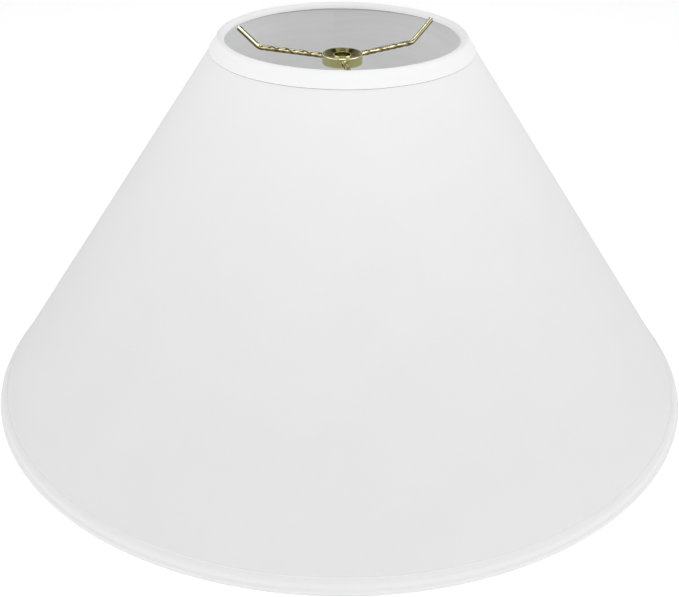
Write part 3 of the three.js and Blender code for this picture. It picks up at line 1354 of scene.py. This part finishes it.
@dataclass
class Spider:
    """The hub and its arms."""

    lines: ShadeLines
    dish_depth: float = 2.2 * MM
    dish_slope: float = 2.4 * MM
    rim: float = 1.0 * MM
    hole: float = 9.6 * MM
    lip: float = 0.5 * MM
    lip_height: float = 1.5 * MM
    lip_foot: float = 0.7 * MM
    edge: float = 0.35 * MM
    rim_edge: float = 0.85 * MM
    arm_nodes: Sequence[str] = ("spider_arm_1", "spider_arm_2", "spider_arm_3")
    rod: float = 3.1 * MM
    rod_corner: float = 1.2 * MM
    rod_step: float = 0.3 * MM
    hub_steps: int = 144
    hub_bite: float = 0.1 * MM
    ring_stop: float = 0.05 * MM
    slit_arm: str = "spider_arm_2"
    slit_stop: float = 2.3 * MM
    knee_inset: float = 16.6 * MM
    bend: float = 6 * MM
    twist_pitch: float = 22 * MM
    flare: float = 1.3
    flare_length: float = 1.8 * MM
    turned_brass: BrassFinish = BrassFinish(
        "turned_brass",
        Working.TURNED,
        bright=(0.55, 0.53, 0.25, 1.0),
        tarnished=(0.42, 0.38, 0.16, 1.0),
        dish=(5.4 * MM, 10.9 * MM),
    )
    drawn_brass: BrassFinish = BrassFinish("drawn_brass", Working.DRAWN)

    def _hub_section(self) -> list[tuple[float, float]]:
        """The hub's section, from its foot up the outside, over the rim, into the dish and over the lip.

        Returns:
            Its (radius, height) points.
        """
        low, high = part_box("spider_hub")
        outside, hole = high.x, self.hole / 2
        dish = high.z - self.dish_depth
        rim = outside - self.edge - self.rim
        corners = [
            (hole, low.z, self.edge),
            (outside, low.z, self.edge),
            (outside, high.z, self.rim_edge),
            (rim, high.z, 0.3 * MM),
            (rim - self.dish_slope, dish, 0.8 * MM),
            (hole + self.lip + self.lip_foot, dish, 0.5 * MM),
            (hole + self.lip, dish + self.lip_height, 0.2 * MM),
            (hole, dish + self.lip_height, 0.2 * MM),
        ]
        return rounded(corners)

    def arm_angle(self, node: str) -> float:
        """The direction of an arm, in radians anticlockwise from +X."""
        middle = sum((v.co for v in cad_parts[node].data.vertices), Vector())
        return math.atan2(middle.y, middle.x)

    def _arm(self, node: str, tree: Tree, material: Material) -> Piece:
        """Makes one arm, from the hub's side round the knee to the top ring.

        Args:
            node: The CAD node that it replaces.
            tree: The rule of a twisted arm.
            material: Its finish.

        Returns:
            The arm's rod.
        """
        low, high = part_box("spider_hub")
        level = (low.z + high.z) / 2
        ring = self.lines.ring_middle(Edge.TOP)
        knee = Vector((ring.x - self.knee_inset, level))
        rise = (ring - knee).normalized()
        stop = self.slit_stop if node == self.slit_arm else self.ring_stop
        end = ring - rise * (self.lines.round_wire / 2 + stop)
        angle = self.arm_angle(node)
        start = Vector((high.x - self.hub_bite, level))
        line = [(math.cos(angle) * p.x, math.sin(angle) * p.x, p.y) for p in (start, knee, end)]
        values = {
            "Rod side": self.rod,
            "Rod corner": self.rod_corner,
            "Bend radius": self.bend,
            "Twist pitch": self.twist_pitch,
            "Twisted length": knee.x - start.x - 2 * MM,
            "Flare": self.flare,
            "Flare length": self.flare_length,
            "Step": self.rod_step,
            "Material": material,
        }
        return grow(new_object(node + "_rod", line, [(0, 1), (1, 2)], []), tree, values)

    def build(self) -> list[Piece]:
        """Makes the hub and the arms.

        Returns:
            The hub and the three rods.
        """
        hub = turned("turned_hub", self._hub_section(), self.hub_steps, self.turned_brass.material())
        pieces = [(hub, "spider_hub")]
        tree, brass = twisted_arm_tree(), self.drawn_brass.material()
        pieces += [(self._arm(node, tree, brass), node) for node in self.arm_nodes]
        for made, node in pieces:
            mount(made, node)
        return [made for made, _ in pieces]


# ---- Floor, light and camera ----


@dataclass
class Studio:
    """The floor, the light and the camera."""

    camera_place: tuple[float, float, float] = (0.0010, -0.6484, 0.4141)
    camera_pitch: float = math.radians(29.299)
    camera_yaw: float = math.radians(0.136)
    camera_roll: float = math.radians(0.456)
    lens: float = 57.81
    sensor: float = 36.0
    floor_size: float = 40.0
    front: Colour = grey(0.65)
    back: Colour = grey(0.32)
    left: Colour = grey(1.80)
    right: Colour = grey(2.25)
    ceiling: Colour = grey(0.02)

    def add_camera(self) -> None:
        """Adds the camera and makes it the scene's own."""
        made = bpy.data.objects.new("camera", bpy.data.cameras.new("camera"))
        bpy.context.scene.collection.objects.link(made)
        made.data.lens = self.lens
        made.data.sensor_width = self.sensor
        made.data.clip_start = 0.01
        turn = Euler((0.0, 0.0, self.camera_yaw)).to_matrix()
        turn @= Euler((math.pi / 2 - self.camera_pitch, 0.0, 0.0)).to_matrix()
        turn @= Euler((0.0, 0.0, self.camera_roll)).to_matrix()
        made.matrix_world = turn.to_4x4()
        made.location = self.camera_place
        bpy.context.scene.camera = made

    def _lamp(
        self, name: str, place: Sequence[float], aim: Sequence[float], size: float, power: float
    ) -> None:
        """Adds a square soft light that points at a place.

        Args:
            name: The lamp's name.
            place: Where it hangs.
            aim: Where it points.
            size: The length of its side.
            power: Its power, in watts.
        """
        lamp = bpy.data.lights.new(name, "AREA")
        lamp.size = size
        lamp.energy = power
        made = bpy.data.objects.new(name, lamp)
        made.location = place
        made.rotation_euler = (Vector(aim) - Vector(place)).to_track_quat("-Z", "Y").to_euler()
        made.visible_camera = False
        bpy.context.scene.collection.objects.link(made)

    def add_floor(self) -> None:
        """Adds the floor."""
        half = self.floor_size / 2
        corners = [(-half, -half, 0.0), (half, -half, 0.0), (half, half, 0.0), (-half, half, 0.0)]
        made = new_object("floor", corners, [], [(0, 1, 2, 3)])
        made.data.materials.append(FloorFinish().material())

    def add_light(self) -> None:
        """Adds the bright surroundings with their darker ceiling, and the soft lamps."""
        world = bpy.data.worlds.new("studio")
        world.use_nodes = True
        bpy.context.scene.world = world
        g = Graph(world.node_tree)
        across, ahead, up = g.parts(g.node("ShaderNodeTexCoord").out("Generated"))
        walls = g.blend(g.ease(ahead, -0.2, 0.2), self.front, self.back)
        sides = g.blend(g.ease(across, -0.1, 0.1), self.left, self.right)
        sides = g.blend(g.ease(ahead, 0.0, 0.5), sides, self.back)
        round_about = g.blend(g.ease(abs(across), 0.5, 0.9), walls, sides)
        sky = g.blend(g.ease(up, 0.55, 0.9), round_about, self.ceiling)
        lit = g.node("ShaderNodeBackground", None, {"Color": sky, "Strength": 1.0})
        g.node("ShaderNodeOutputWorld", None, {"Surface": lit})
        bpy.context.scene.view_settings.view_transform = "Standard"
        self._lamp("near", (0.0, -0.2, 0.62), (0.0, -0.1, 0.2), 0.2, 0.48)
        self._lamp("overhead", (0.0, 0.3, 1.1), (0.0, 0.0, 0.2), 0.8, 2.1)
        self._lamp("side", (-1.2, -1.2, 0.8), (0.0, 0.0, 0.1), 0.8, 1.4)


def main() -> None:
    """Builds the studio and the shade, and reports each piece."""
    logging.basicConfig(level=logging.INFO, format="%(name)s: %(message)s")
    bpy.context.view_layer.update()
    studio = Studio()
    studio.add_camera()
    lines = ShadeLines.of_frame()
    spider = Spider(lines)
    pieces = RolledCone(lines).build()
    notched = [node for node in spider.arm_nodes if node != spider.slit_arm]
    pieces.append(top_trim(lines, [spider.arm_angle(node) for node in notched]).build())
    pieces.append(bottom_trim(lines).build())
    ring_tree = wire_ring_tree()
    brass, steel = BrassFinish("ring_brass", Working.DRAWN), WireFinish()
    top_ring = EdgeRing("top_ring_wire", "top_ring", "brass_plate", Edge.TOP, lines)
    pieces.append(top_ring.build(ring_tree, brass.material()))
    bottom_ring = EdgeRing("bottom_ring_wire", "bottom_ring", "ring_steel", Edge.BOTTOM, lines)
    pieces.append(bottom_ring.build(ring_tree, steel.material()))
    pieces += spider.build()
    studio.add_floor()
    studio.add_light()
    for piece in pieces:
        triangles = sum(len(p.vertices) - 2 for p in piece.data.polygons)
        LOG.info("%s: %d triangles", piece.name, triangles)


if __name__ == "__main__":
    main()
